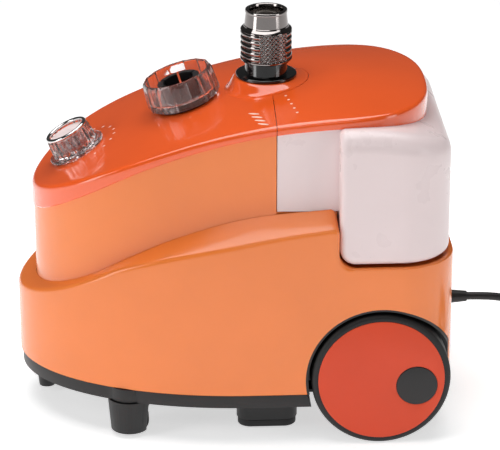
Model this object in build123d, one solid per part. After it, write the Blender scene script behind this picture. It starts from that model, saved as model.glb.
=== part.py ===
from build123d import *
import math
import os

# Canister garment steamer, in millimetres, +Z up.
# The origin lies on the floor under the middle of the body, without its mains lead.
# -X is the front with the control dial, +X the stern with the tank, the wheels and the lead.

# Body
BODY_HALF_LENGTH = 185
BODY_HALF_WIDTH = 120
NOSE_CENTRE_X = 12
STERN_CORNER_R = 48
WALL = 3
BASE_BOTTOM_Z = 34
SHELL_BOTTOM_Z = 46
SEAT_RIM_Z = 160
NOTCH_R = 13
STEP_Z = 203

# Deck: a parabola along the body with a slight crown across it
DECK_FRONT_X = -171
DECK_REAR_X = 167
DECK_HALF_WIDTH = 98.6
CREST_X = 118
CREST_Z = 285.3
DECK_FALL = 0.00098
CROWN = 8
CROWN_X = 40
CROWN_REACH = 190
SEAM_X = 33.7
SEAM_GAP = 0.5

# Tank
BULGE_X = 85
BULGE_HALF_WIDTH = 117
TANK_BACK_X = 181
TANK_FLOOR_Z = 162
TANK_WALL = 2.5
TANK_SHOULDER_R = 16
CAP_X = 125
CAP_R = 22
NECK_R = 18
FLOOR_PLATE_X = 136
FLOOR_PLATE_LENGTH = 68
FLOOR_PLATE_WIDTH = 186
CAP_FLOOR_Z = 148
CAP_HEIGHT = 14
CAP_FLOOR_THICK = 2.5
CAGE_R = 10.5
STEM_R = 2.5
SEAT_FLOOR_Z = SEAT_RIM_Z - 6.2
SOCKET_FLOOR_Z = 142
SPIGOT_X = CAP_X + 6

# Steam outlet
OUTLET_X = 30.5
CONE_BASE_R = 36
CONE_TOP_R = 27
CONE_TOP_Z = 291
PIPE_R = 10
NUT_R = 22
NUT_BORE_R = 14
NUT_BOTTOM_Z = 305.3
NUT_GRIP_HEIGHT = 31
NUT_TOP_Z = 350

# Boiler inside the body
BOILER_X = -28
BOILER_Z = 42
ELEMENT_Z = 58
LID_TOP_Z = 104.2
PIPE_LENGTH = 231

# Pole clamp and control dial, each square to the deck under it
POLE_X = -38
POLE_TILT = 17.5
POLE_BORE_R = 13
SOCKET_R = 16
SOCKET_DEPTH = 82
RING_R = 32
RING_HEIGHT = 27
DIAL_X = -131
DIAL_TILT = 28
DIAL_R = 19
DIAL_HEIGHT = 22
SHAFT_R = 3

# Running gear
WHEEL_R = 59
WHEEL_X = 121.6
WHEEL_FACE_Y = 122
WHEEL_WIDTH = 28
DISC_R = 53.5
INLAY_R = 17.5
INLAY_X = 30
INLAY_Z = -5.7
ARCH_R = 64
ARCH_INNER_Y = 89
AXLE_R = 4
CASTER_X = -91
CASTER_Y = 86
CASTER_R = 12.5
CASTER_TRAIL = 4
PIN_R = 4
SCREW_R = 2
RUNNING_FIT = 0.05

# Mains lead
CORD_R = 3.5
CORD_EXIT = (208, 0, 82)
COIL_CENTRE = (384, -36)
COIL_MEAN_R = 38.5
COIL_OUTER_R = 49
COIL_INNER_R = 28
COIL_HEIGHT = 21
PLUG_FACE = (330, -80, 7.1)

OUTLINE_STEPS = 9

STANDING = (Align.CENTER, Align.CENTER, Align.MIN)
LYING_Y = Rot(90, 0, 0)
SIDES = {"left": -1, "right": 1}


def deck_z(x, y=0.0):
    """Height of the deck's skin over a point of the plan."""
    along = CREST_Z - DECK_FALL * (x - CREST_X) ** 2
    fullness = 1 - ((x - CROWN_X) / CROWN_REACH) ** 2
    return along + CROWN * fullness * (1 - (y / DECK_HALF_WIDTH) ** 2)


def export(node, shape):
    """Write one sub-part."""
    export_step(shape, f"parts/{node}.step")


def round_bar(radius, length, place=Location(), bore=0.0):
    """Cylinder standing on its place, with an optional bore."""
    bar = Cylinder(radius, length, align=STANDING)
    if bore:
        bar -= Cylinder(bore, length, align=STANDING)
    return place * bar


def along_y(radius, y_low, y_high, x, z, bore=0.0):
    """Cylinder lying across the body from y_low to y_high."""
    return round_bar(radius, y_high - y_low, Pos(x, y_high, z) * LYING_Y, bore)


def block(x, y, z):
    """Box from three (low, high) pairs."""
    size = (x[1] - x[0], y[1] - y[0], z[1] - z[0])
    middle = ((x[0] + x[1]) / 2, (y[0] + y[1]) / 2, (z[0] + z[1]) / 2)
    return Pos(*middle) * Box(*size)


def slab(outline, low, high):
    """Plan outline raised from one height to another."""
    return Pos(0, 0, low) * extrude(outline, high - low)


def mirrored(shape):
    """The shape and its mirror image across the body's middle plane."""
    return [shape, shape.mirror(Plane.XZ)]


# Plan outlines


def body_outline(inset=0.0):
    """Half an ellipse at the nose and a square stern with round corners."""
    half = BODY_HALF_WIDTH - inset
    nose = BODY_HALF_LENGTH + NOSE_CENTRE_X - inset
    stern = BODY_HALF_LENGTH - inset
    corner = STERN_CORNER_R - inset
    turn_x = stern - corner
    turn_y = half - corner
    bow = EllipticalCenterArc((NOSE_CENTRE_X, 0), nose, half, 90, arc_size=180)
    sides = [
        Line((NOSE_CENTRE_X, -half), (turn_x, -half)),
        CenterArc((turn_x, -turn_y), corner, 270, 90),
        Line((stern, -turn_y), (stern, turn_y)),
        CenterArc((turn_x, turn_y), corner, 0, 90),
        Line((turn_x, half), (NOSE_CENTRE_X, half)),
    ]
    return make_face([bow, *sides])


def closed_by_mirror(points):
    """Face between a curve of (x, y) points from nose to stern and its mirror image."""
    other_side = [(x, -y) for x, y in points]
    upper = Spline(*points, tangents=[(0, 1), (0, -1)], tangent_scalars=(1, 1))
    lower = Spline(*other_side, tangents=[(0, -1), (0, 1)], tangent_scalars=(1, 1))
    return make_face([upper, lower])


def deck_outline(inset=0.0):
    """Outline of the deck and of the upper body under it."""
    front = [(DECK_FRONT_X, 0), (-150, 56), (-110, 84), (-45, 94.5), (40, DECK_HALF_WIDTH)]
    points = [*front, (110, 96.5), (145, 80), (163, 40), (DECK_REAR_X, 0)]
    curve = Spline(*points, tangents=[(0, 1), (0, -1)], tangent_scalars=(1, 1))
    moved = []
    for index in range(1, OUTLINE_STEPS):
        spot = curve @ (index / OUTLINE_STEPS)
        along = curve % (index / OUTLINE_STEPS)
        moved.append((spot.X + inset * along.Y, spot.Y - inset * along.X))
    return closed_by_mirror([(DECK_FRONT_X + inset, 0), *moved, (DECK_REAR_X - inset, 0)])


def bulge_outline(inset=0.0):
    """Outline of the wide rear part of the tank."""
    width = 2 * (BULGE_HALF_WIDTH - inset)
    length = TANK_BACK_X - BULGE_X - SEAM_GAP - 2 * inset
    middle = Pos((TANK_BACK_X + BULGE_X + SEAM_GAP) / 2, 0)
    outline = middle * Rectangle(length, width)
    rear = outline.vertices().group_by(Axis.X)[-1]
    return fillet(rear, STERN_CORNER_R - 4 - inset)


# Side views, as curves of (x, z) points

SHOULDER = [(-190, 106), (-158, 121), (-104, 143.5), (-64, 162.5), (-20, 176.5), (40, 189), (90, 196)]
LEDGE_ROOT = [(-190, 107), (-158, 124), (-117, 147), (-90, 165), (-50, 180.5), (11, 198), (90, 207)]
DECK_RIM = [(-176, 179), (-130, 211.8), (-70, 243.7), (10, 268), (90, 277.6), (145, 273), (190, 253)]
LEDGE_WIDTH = 24


def above(curve, y, drop=0.0):
    """Face in the plane across the body at y, covering everything over a side view curve."""
    points = [(x, z - drop) for x, z in curve]
    left = points[0][0]
    right = points[-1][0]
    outline = [
        Spline(*points),
        Line(points[-1], (right, 400)),
        Line((right, 400), (left, 400)),
        Line((left, 400), points[0]),
    ]
    return Plane.XZ.offset(-y) * make_face(outline)


def lower_block(inset=0.0, drop=0.0):
    """The lower body as a full block: swept shoulder, sloping ledge and the notch for the tank."""
    body = slab(body_outline(inset), SHELL_BOTTOM_Z, 215)
    root_y = BODY_HALF_WIDTH - LEDGE_WIDTH
    edge_y = BODY_HALF_WIDTH + 1
    slope = loft([above(SHOULDER, -edge_y, drop), above(LEDGE_ROOT, -root_y, drop)], ruled=True)
    middle = extrude(above(LEDGE_ROOT, 0, drop), root_y, both=True)
    for cutter in [*mirrored(slope), middle]:
        body -= cutter
    notch = Polyline((BULGE_X, 400), (BULGE_X, SEAT_RIM_Z), (200, SEAT_RIM_Z), (200, 400), close=True)
    notch_face = fillet(make_face(notch).vertices().sort_by_distance((BULGE_X, SEAT_RIM_Z))[0], NOTCH_R)
    return body - extrude(Plane.XZ * (Pos(0, -drop) * notch_face), 200, both=True)


def wheel_wells(radius, inner_y):
    """The two spaces that the rear wheels turn in."""
    return mirrored(along_y(radius, -140, -inner_y, WHEEL_X, WHEEL_R))


# Casings


def lower_shell():
    """Light bucket of the body with its swept shoulder and ledge."""
    shell = lower_block() - lower_block(WALL, WALL)
    shell -= slab(deck_outline(1.2), 90, 215) & block((-200, BULGE_X), (-130, 130), (90, 215))
    over_seat = slab(body_outline(5), SEAT_RIM_Z - WALL - 1, 215)
    shell -= over_seat & block((BULGE_X, 200), (-130, 130), (150, 215))
    for well in wheel_wells(ARCH_R, ARCH_INNER_Y):
        shell -= well
    shell -= Pos(180, 0, CORD_EXIT[2]) * Rot(0, 90, 0) * Cylinder(8, 20)
    return shell


def base_tray():
    """Black tray that closes the bottom, with its bosses for casters, feet and peg."""
    tray = slab(body_outline(2), BASE_BOTTOM_Z, SHELL_BOTTOM_Z - 0.2)
    tray -= slab(body_outline(2 + WALL), BASE_BOTTOM_Z + WALL, SHELL_BOTTOM_Z)
    pan = extrude(Pos(0, 0, BASE_BOTTOM_Z) * Pos(-32, 0) * RectangleRounded(78, 120, 14), -20, taper=14)
    peg = Pos(-163, 0, 6) * Cone(7, 10, BASE_BOTTOM_Z - 6, align=STANDING)
    tray += [pan, peg]
    for side in SIDES.values():
        tray += round_bar(17, 12, Pos(CASTER_X, side * CASTER_Y, BASE_BOTTOM_Z))
        tray += extrude(Pos(27, side * 80, 10) * SlotOverall(52, 24), BASE_BOTTOM_Z - 10)
        tray += block((52, 60), (side * 70 - 12, side * 70 + 12), (22, BASE_BOTTOM_Z))
        bearing_y = (side * 82 - 5, side * 82 + 5)
        tray += block((WHEEL_X - 8, WHEEL_X + 8), bearing_y, (BASE_BOTTOM_Z, WHEEL_R + 9))
        tray -= round_bar(PIN_R, 20, Pos(CASTER_X, side * CASTER_Y, BASE_BOTTOM_Z - 1))
    for well in wheel_wells(ARCH_R, ARCH_INNER_Y):
        tray -= well
    tray -= along_y(AXLE_R, -130, 130, WHEEL_X, WHEEL_R)
    for x, y in screw_places():
        tray -= round_bar(SCREW_R, 20, Pos(x, y, BASE_BOTTOM_Z - 5))
    return tray


def screw_places():
    """Where the case screws hold the base tray."""
    return [(x, side * 50) for x in (-120, 60) for side in SIDES.values()]


def case_screws():
    """Four screws with round heads under the base tray."""
    return [
        round_bar(SCREW_R, 12, Pos(x, y, BASE_BOTTOM_Z)) + round_bar(3.5, 2, Pos(x, y, BASE_BOTTOM_Z - 2))
        for x, y in screw_places()
    ]


def wheel_arch(side):
    """Black cup that lines the space round a rear wheel."""
    cup = along_y(ARCH_R - 0.2, ARCH_INNER_Y + 0.2, 119, WHEEL_X, WHEEL_R)
    cup -= along_y(ARCH_R - 2.2, ARCH_INNER_Y + 2.2, 125, WHEEL_X, WHEEL_R)
    cup -= block((0, 200), (80, 130), (-10, SHELL_BOTTOM_Z))
    cup &= slab(body_outline(0.5), SHELL_BOTTOM_Z, 200)
    cup -= along_y(AXLE_R, 80, 130, WHEEL_X, WHEEL_R)
    return cup if side > 0 else cup.mirror(Plane.XZ)


def deck_block(outline_inset, drop):
    """Everything under the crowned skin of the deck, lowered by a drop."""
    columns = range(DECK_FRONT_X - 9, DECK_REAR_X + 14, 22)
    rows = range(-105, 106, 15)
    grid = [[(x, y, deck_z(x, y) - drop) for y in rows] for x in columns]
    skin = Face.make_surface_from_array_of_points(grid)
    return extrude(skin, 130, dir=(0, 0, -1)) & slab(deck_outline(outline_inset), 150, 310)


def deck_cover():
    """The whole cap of the body, front and rear, as a thin skin with a hanging rim."""
    under_rim = extrude(above(DECK_RIM, 0), 130, both=True)
    cover = deck_block(0, 0) & under_rim
    return cover - deck_block(WALL, WALL)


def cone():
    """Raised cone of the deck round the steam outlet."""
    return Pos(OUTLET_X, 0, CONE_TOP_Z - 12) * Cone(CONE_BASE_R, CONE_TOP_R, 12, align=STANDING)


def front_deck():
    """Dark cover of the upper body, with the cone of the steam outlet."""
    deck = deck_cover() - block((SEAM_X, 200), (-130, 130), (150, 330))
    deck += deck_cover() & round_bar(CONE_BASE_R, 150, Pos(OUTLET_X, 0, 200))
    deck += cone()
    deck -= round_bar(PIPE_R + 3, 150, Pos(OUTLET_X, 0, 200))
    deck -= POLE_PLACE * Pos(0, 0, -30) * Cylinder(SOCKET_R + 0.2, 60, align=STANDING)
    deck -= DIAL_PLACE * Pos(0, 0, -30) * Cylinder(SHAFT_R + 2.4, 60, align=STANDING)
    pads = POLE_PLACE * Pos(0, 0, -4) * Cylinder(RING_R - 1, 4.4, align=STANDING)
    pads -= POLE_PLACE * Pos(0, 0, -5) * Cylinder(SOCKET_R + 0.2, 8, align=STANDING)
    disc = Cylinder(26, 5.2, align=STANDING) - Cylinder(SHAFT_R + 2.4, 6, align=STANDING)
    seat = DIAL_PLACE * Pos(0, 0, -5) * disc
    return deck + pads + seat


def tank_cover():
    """Dark cover on top of the tank, behind the seam."""
    cover = deck_cover() - block((-200, SEAM_X + SEAM_GAP), (-130, 130), (150, 330))
    return cover - round_bar(CONE_BASE_R + 1, 150, Pos(OUTLET_X, 0, 200))


def upper_body(inset=0.0):
    """The upper body as a full block between the ledge and the deck."""
    body = slab(deck_outline(1.5 + inset), 90, 310)
    body &= extrude(above([(x, z - 7) for x, z in LEDGE_ROOT], 0), 130, both=True)
    body -= extrude(above(DECK_RIM, 0, 0.1), 130, both=True)
    return body - block((SEAM_X, 200), (-130, 130), (80, 330))


def upper_shell():
    """Light wall between the ledge and the deck, in front of the tank."""
    return upper_body() - slab(deck_outline(1.5 + WALL), 80, 310)


def tank_seat():
    """Inner bulkhead, step and floor that the tank stands on, with its valve socket."""
    step = slab(deck_outline(WALL), STEP_Z - 3, STEP_Z) & block((SEAM_X, 84.5), (-130, 130), (190, 210))
    floor = slab(body_outline(WALL + 0.4), SEAT_FLOOR_Z, SEAT_FLOOR_Z + WALL)
    floor &= block((81.5, 190), (-130, 130), (150, 165))
    riser = block((81.5, 84.5), (-116.4, 116.4), (SEAT_FLOOR_Z, 190))
    riser += block((81.5, 84.5), (-93, 93), (188, STEP_Z))
    wall = block((SEAM_X - 3, SEAM_X), (-92, 92), (STEP_Z - 3, 264))
    bow = round_bar(CONE_BASE_R, 61, Pos(OUTLET_X, 0, STEP_Z), CONE_BASE_R - WALL)
    seat = step + floor + riser + wall
    seat -= round_bar(CONE_BASE_R - WALL, 100, Pos(OUTLET_X, 0, STEP_Z - 10))
    seat += bow & block((SEAM_X - 3, 100), (-50, 50), (150, 300))
    socket = round_bar(CAP_R + 5, 21, Pos(CAP_X, 0, SOCKET_FLOOR_Z - 3))
    socket -= round_bar(CAP_R + 2.5, 30, Pos(CAP_X, 0, SOCKET_FLOOR_Z))
    seat -= round_bar(CAP_R + 2.5, 30, Pos(CAP_X, 0, SOCKET_FLOOR_Z))
    seat += socket
    for rib_y in (-80, -40, 40, 80):
        seat += block((95, 165), (rib_y - 1.5, rib_y + 1.5), (SEAT_FLOOR_Z, TANK_FLOOR_Z - 0.3))
    seat += round_bar(6, 12, Pos(SPIGOT_X, 0, SOCKET_FLOOR_Z - 14))
    seat += round_bar(2, 3, Pos(CAP_X, 0, SOCKET_FLOOR_Z))
    return seat - round_bar(2.5, 40, Pos(SPIGOT_X, 0, SOCKET_FLOOR_Z - 20))


# Tank


def tank_block(inset=0.0):
    """The tank as a full block: a narrow front over the step and a wide bulge over the stern."""
    front = slab(deck_outline(1.7 + inset), STEP_Z + 1 + inset, 310)
    front &= block((SEAM_X + 0.6 + inset, BULGE_X + 25), (-130, 130), (150, 310))
    over_rim = extrude(above(DECK_RIM, 0, 0.3 + inset), 130, both=True)
    bulge = slab(bulge_outline(inset), TANK_FLOOR_Z, 310) - over_rim
    corner = (BULGE_X + SEAM_GAP + inset, TANK_FLOOR_Z + inset)
    side_view = make_face(Polyline(corner, (250, corner[1]), (250, 400), (corner[0], 400), close=True))
    side_view = fillet(side_view.vertices().sort_by_distance(corner)[0], NOTCH_R + 0.5 - inset)
    bulge &= extrude(Plane.XZ * side_view, 130, both=True)
    top = bulge.edges().filter_by(lambda edge: edge.bounding_box().min.Z > 240)
    bulge = fillet(top.filter_by(lambda edge: edge.center().X > BULGE_X + 5), TANK_SHOULDER_R - inset)
    upright = bulge.edges().filter_by(Axis.Z).filter_by(lambda edge: edge.center().X < BULGE_X + 5)
    bulge = fillet(upright, 5)
    full = (front - over_rim) + bulge
    return full - round_bar(CONE_BASE_R + 1.5 + inset, 300, Pos(OUTLET_X, 0, 100))


def floor_plate(height):
    """Rounded plate that closes the opening in the tank's floor."""
    outline = RectangleRounded(FLOOR_PLATE_LENGTH, FLOOR_PLATE_WIDTH, 12)
    return Pos(FLOOR_PLATE_X, 0, TANK_FLOOR_Z) * extrude(outline, height)


def water_tank():
    """Translucent blown tank, open in its floor where the plate with the neck is welded in."""
    tank = tank_block() - tank_block(TANK_WALL)
    return tank - Pos(0, 0, -1) * floor_plate(2 * TANK_WALL)


def tank_floor():
    """Floor plate of the tank, with the neck for the cap."""
    plate = floor_plate(TANK_WALL)
    plate += round_bar(NECK_R, 10, Pos(CAP_X, 0, TANK_FLOOR_Z - 10))
    return plate - round_bar(NECK_R - 2.5, 20, Pos(CAP_X, 0, TANK_FLOOR_Z - 12))


def tank_cap():
    """Ribbed skirt of the tank's screw cap."""
    skirt = round_bar(CAP_R, CAP_HEIGHT, Pos(CAP_X, 0, CAP_FLOOR_Z), NECK_R + 0.35)
    for index in range(24):
        skirt -= Pos(CAP_X, 0, CAP_FLOOR_Z) * Rot(0, 0, 15 * index) * Pos(CAP_R + 0.6, 0, 0) * Cylinder(1.4, 20)
    return skirt


def cap_floor():
    """Floor of the cap inside its skirt, with the hole for the seat's pin."""
    return round_bar(NECK_R + 0.35, CAP_FLOOR_THICK, Pos(CAP_X, 0, CAP_FLOOR_Z), 4)


def cap_cage():
    """Slotted cage on the cap's floor, which guides the valve."""
    cage = round_bar(CAGE_R, 16.5, Pos(CAP_X, 0, CAP_FLOOR_Z + CAP_FLOOR_THICK), CAGE_R - 2)
    cage += round_bar(CAGE_R, 2, Pos(CAP_X, 0, CAP_FLOOR_Z + 19))
    for index in range(2):
        cage -= Pos(CAP_X, 0, CAP_FLOOR_Z + 11) * Rot(0, 0, 90 * index) * Box(8, 30, 12)
    return cage - round_bar(STEM_R + 0.06, 10, Pos(CAP_X, 0, CAP_FLOOR_Z + 15))


def valve_stem():
    """Stem that opens the tank when the socket's pin lifts it."""
    stem = round_bar(STEM_R, 26, Pos(CAP_X, 0, CAP_FLOOR_Z - 1.5))
    return stem + round_bar(6, 1.5, Pos(CAP_X, 0, CAP_FLOOR_Z + 4.6))


def valve_seal():
    """Rubber washer that closes the hole of the cap."""
    return round_bar(7.2, 2, Pos(CAP_X, 0, CAP_FLOOR_Z + 2.55), STEM_R)


def valve_spring():
    """Spring that holds the valve shut."""
    low = CAP_FLOOR_Z + 6.5
    path = Pos(CAP_X, 0, low) * Helix(3, 12, 4.6)
    section = Plane(origin=path @ 0, z_dir=path % 0) * Circle(0.4)
    return sweep(section, path=path)


# Steam side


def outlet_collar():
    """Black flange and neck under the hose nut."""
    place = Pos(OUTLET_X, 0, CONE_TOP_Z)
    collar = round_bar(26, 3, place) + round_bar(18, NUT_BOTTOM_Z - CONE_TOP_Z - 0.3, place)
    collar = fillet(collar.edges().filter_by(GeomType.CIRCLE).sort_by(Axis.Z)[1], 1)
    return collar - round_bar(PIPE_R, 30, Pos(OUTLET_X, 0, CONE_TOP_Z - 5))


def outlet_pipe():
    """Riser from the boiler to the hose nut, with the flange that keeps the nut."""
    pipe = round_bar(PIPE_R, PIPE_LENGTH, Pos(OUTLET_X, 0, LID_TOP_Z))
    pipe += round_bar(NUT_R - 6, 2, Pos(OUTLET_X, 0, NUT_BOTTOM_Z + 5))
    return pipe - round_bar(PIPE_R - 1.5, 260, Pos(OUTLET_X, 0, LID_TOP_Z - 10))


def outlet_seal():
    """Rubber ring that seals the hose end on the pipe."""
    return round_bar(NUT_BORE_R - 1, 3, Pos(OUTLET_X, 0, LID_TOP_Z + PIPE_LENGTH), PIPE_R - 1.5)


def hose_nut():
    """Chrome nut that clamps the steam hose, with grooved and knurled grips."""
    grip = round_bar(NUT_R, NUT_GRIP_HEIGHT, Pos(OUTLET_X, 0, NUT_BOTTOM_Z))
    neck_z = NUT_BOTTOM_Z + NUT_GRIP_HEIGHT
    neck = Pos(OUTLET_X, 0, neck_z) * Cone(18.6, 17.4, NUT_TOP_Z - neck_z, align=STANDING)
    nut = grip + neck
    for level in range(4):
        groove = round_bar(NUT_R + 1, 2.4, Pos(OUTLET_X, 0, NUT_BOTTOM_Z + 4 + 6.5 * level), NUT_R - 1.6)
        nut -= groove
    nut -= round_bar(NUT_BORE_R, 60, Pos(OUTLET_X, 0, NUT_BOTTOM_Z - 1))
    return nut - round_bar(NUT_R - 5, 29, Pos(OUTLET_X, 0, NUT_BOTTOM_Z + 4))


def boiler_pan():
    """Cast pan that holds the water over the heating element."""
    pan = Pos(BOILER_X, 0, BOILER_Z) * extrude(RectangleRounded(150, 110, 16), 45)
    return pan - Pos(BOILER_X, 0, BOILER_Z + 8) * extrude(RectangleRounded(142, 102, 12), 45)


def boiler_lid():
    """Lid of the boiler with the boss for the riser."""
    lid = Pos(BOILER_X, 0, BOILER_Z + 45.2) * extrude(RectangleRounded(158, 118, 18), 5)
    lid += round_bar(PIPE_R + 4, 12, Pos(OUTLET_X, 0, BOILER_Z + 50))
    return lid - round_bar(PIPE_R - 1.5, 60, Pos(OUTLET_X, 0, BOILER_Z + 20))


def heating_element():
    """Bent tubular element lying in the pan."""
    reach = 52
    path = Wire([
        Line((BOILER_X - reach, -28, ELEMENT_Z), (BOILER_X + 36, -28, ELEMENT_Z)),
        CenterArc((BOILER_X + 36, 0, ELEMENT_Z), 28, -90, 180),
        Line((BOILER_X + 36, 28, ELEMENT_Z), (BOILER_X - reach, 28, ELEMENT_Z)),
    ])
    return sweep(Plane(origin=path @ 0, z_dir=path % 0) * Circle(4), path=path)


def thermostat():
    """Round thermostat on the front wall of the pan."""
    place = Pos(BOILER_X - 75, -24, BOILER_Z + 22) * Rot(0, -90, 0)
    return round_bar(12, 8, place) + round_bar(7, 12, place)


def thermal_fuse():
    """Fuse beside the thermostat."""
    place = Pos(BOILER_X - 75, 24, BOILER_Z + 22) * Rot(0, -90, 0)
    return round_bar(9, 6, place)


def heat_shield():
    """Sheet between the boiler and the base tray."""
    return block((BOILER_X - 80, BOILER_X + 80), (-60, 60), (BOILER_Z - 3, BOILER_Z - 2))


def water_hose():
    """Soft hose from the tank's socket down to the boiler."""
    start = (SPIGOT_X, 0, SOCKET_FLOOR_Z - 14)
    path = FilletPolyline(start, (SPIGOT_X, 0, 84), (CAP_X - 40, 0, 78), (BOILER_X + 75.4, 0, 76), radius=14)
    section = Plane(origin=path @ 0, z_dir=path % 0) * Circle(5)
    return sweep(section, path=path)


def terminal_block():
    """Block where the mains lead meets the wiring."""
    body = block((140, 160), (20, 60), (BASE_BOTTOM_Z + WALL, 58))
    for index in range(3):
        body -= round_bar(2.5, 6, Pos(150, 28 + 12 * index, 53))
    return body


# Pole clamp and dial


def pole_socket():
    """Blind tube in the body that the pole of the hanger stands in."""
    tube = Cylinder(SOCKET_R, SOCKET_DEPTH + 3, align=STANDING)
    tube -= Pos(0, 0, 3) * Cylinder(POLE_BORE_R, SOCKET_DEPTH, align=STANDING)
    return POLE_PLACE * Pos(0, 0, -SOCKET_DEPTH - 3) * tube


def pole_collet():
    """Black split sleeve that the clamp ring squeezes on the pole."""
    sleeve = round_bar(18.5, 21, Pos(0, 0, 0.45), POLE_BORE_R + 0.4)
    for index in range(3):
        sleeve -= Rot(0, 0, 60 * index + 30) * Pos(0, 0, 14) * Box(50, 2, 18)
    sleeve += round_bar(26, 2, Pos(0, 0, 0.45), POLE_BORE_R + 0.4)
    return POLE_PLACE * sleeve


def pole_clamp_ring():
    """Clear ribbed ring that turns to lock the pole."""
    ring = Pos(0, 0, 2.8) * Cone(RING_R, RING_R - 1.5, RING_HEIGHT - 2.8, align=STANDING)
    ring -= round_bar(RING_R - 3.5, RING_HEIGHT - 7, Pos(0, 0, 7.2))
    ring -= round_bar(19, 30)
    rib = Pos(RING_R - 1.2, 0, 2.8) * Cylinder(1.6, RING_HEIGHT - 4, align=STANDING)
    for index in range(14):
        ring += Rot(0, 0, 360 / 14 * index) * rib
    return POLE_PLACE * ring


def dial_place(height):
    """Place on the dial's axis at a height over the deck."""
    return DIAL_PLACE * Pos(0, 0, height)


def control_dial():
    """Clear dial: a skirt plate and a ribbed grip with a hub."""
    skirt = round_bar(25, 3, Pos(0, 0, 0.6))
    grip = Pos(0, 0, 3.5) * Cone(DIAL_R + 1, DIAL_R - 1, DIAL_HEIGHT - 5.5, align=STANDING)
    grip -= round_bar(DIAL_R - 2.5, DIAL_HEIGHT, Pos(0, 0, 6))
    dial = skirt + grip + round_bar(7, DIAL_HEIGHT - 8, Pos(0, 0, 3))
    for index in range(20):
        dial += Rot(0, 0, 18 * index) * Pos(DIAL_R, 0, 3.5) * Cylinder(1.1, DIAL_HEIGHT - 6.5, align=STANDING)
    dial -= round_bar(SHAFT_R, 14, Pos(0, 0, -1))
    return DIAL_PLACE * dial


def dial_face():
    """Printed plate inside the top of the dial."""
    return dial_place(DIAL_HEIGHT - 4.9) * Cylinder(DIAL_R - 2.8, 1.2, align=STANDING)


def dial_bezel():
    """Chrome ring round the top of the dial."""
    ring = Cylinder(DIAL_R - 0.6, 2.4, align=STANDING) - Cylinder(DIAL_R - 3, 2.4, align=STANDING)
    return dial_place(DIAL_HEIGHT - 1.9) * ring


def dial_shaft():
    """Shaft of the rotary switch."""
    return dial_place(-16) * Cylinder(SHAFT_R, 29, align=STANDING)


def rotary_switch():
    """Switch body and its threaded bush under the deck."""
    body = Pos(0, 0, -30) * Box(36, 36, 22, align=STANDING) + round_bar(5.2, 9.5, Pos(0, 0, -9.5))
    return DIAL_PLACE * (body - round_bar(SHAFT_R + RUNNING_FIT, 40, Pos(0, 0, -17)))


# Running gear


def tyre(side):
    """Black tyre with rounded shoulders."""
    outer = along_y(WHEEL_R, WHEEL_FACE_Y - WHEEL_WIDTH, WHEEL_FACE_Y - 1, WHEEL_X, WHEEL_R)
    outer = fillet(outer.edges().filter_by(GeomType.CIRCLE), 4)
    ring = outer - along_y(DISC_R, 80, 130, WHEEL_X, WHEEL_R)
    return ring if side > 0 else ring.mirror(Plane.XZ)


def wheel_disc(side):
    """Orange disc of the wheel with its hub and spokes behind."""
    inner_y = WHEEL_FACE_Y - WHEEL_WIDTH
    disc = along_y(DISC_R, inner_y, WHEEL_FACE_Y - 0.5, WHEEL_X, WHEEL_R)
    disc -= along_y(DISC_R - 3, inner_y, WHEEL_FACE_Y - 4, WHEEL_X, WHEEL_R)
    disc += along_y(9, inner_y, WHEEL_FACE_Y - 2, WHEEL_X, WHEEL_R)
    for index in range(6):
        spoke = Box(DISC_R - 10, 18, 2.5, align=(Align.MIN, Align.MIN, Align.CENTER))
        disc += Pos(WHEEL_X, inner_y + 4, WHEEL_R) * Rot(0, 60 * index + 30, 0) * Pos(8, 0, 0) * spoke
    disc -= along_y(AXLE_R + RUNNING_FIT, inner_y - 1, 116, WHEEL_X, WHEEL_R)
    disc -= along_y(7, 110, 113, WHEEL_X, WHEEL_R)
    disc -= along_y(INLAY_R, WHEEL_FACE_Y - 1.5, 130, WHEEL_X + INLAY_X, WHEEL_R + INLAY_Z)
    return disc if side > 0 else disc.mirror(Plane.XZ)


def wheel_inlay(side):
    """Black disc let into the face of the wheel, beside its centre."""
    disc = along_y(INLAY_R - 0.1, WHEEL_FACE_Y - 1.5, WHEEL_FACE_Y, WHEEL_X + INLAY_X, WHEEL_R + INLAY_Z)
    return disc if side > 0 else disc.mirror(Plane.XZ)


def axle():
    """Steel axle across the stern, with the grooves for its washers."""
    return along_y(AXLE_R, -115.5, 115.5, WHEEL_X, WHEEL_R)


def axle_washers():
    """Retaining washers that sit in the hubs."""
    return mirrored(along_y(6.5, 111, 112, WHEEL_X, WHEEL_R, AXLE_R))


def caster_fork(side):
    """Round hood of a caster, open below, with its swivel pin."""
    hood = Pos(0, 0, 4) * Cone(16, 18.5, BASE_BOTTOM_Z - 4.5, align=STANDING)
    hood -= block((-CASTER_R + CASTER_TRAIL - 2, 30), (-7.5, 7.5), (-1, 2 * CASTER_R + 2))
    hood += round_bar(PIN_R - RUNNING_FIT, 14, Pos(0, 0, BASE_BOTTOM_Z - 3))
    hood -= along_y(2, -9.5, 9.5, CASTER_TRAIL, CASTER_R)
    return Pos(CASTER_X, side * CASTER_Y) * hood


def caster_pin(side):
    """Pin that the caster wheel turns on."""
    return Pos(CASTER_X, side * CASTER_Y) * along_y(2, -9.4, 9.4, CASTER_TRAIL, CASTER_R)


def caster_wheel(side):
    """Small wheel of a caster."""
    wheel = along_y(CASTER_R, -6.5, 6.5, CASTER_TRAIL, CASTER_R)
    wheel = fillet(wheel.edges().filter_by(GeomType.CIRCLE), 1.5)
    wheel -= along_y(2 + RUNNING_FIT, -20, 20, CASTER_TRAIL, CASTER_R)
    return Pos(CASTER_X, side * CASTER_Y) * wheel


def foot_pad(side):
    """Rubber pad on an oval foot."""
    return extrude(Pos(27, side * 80, 3) * SlotOverall(50, 22), 7)


# Mains lead


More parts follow.
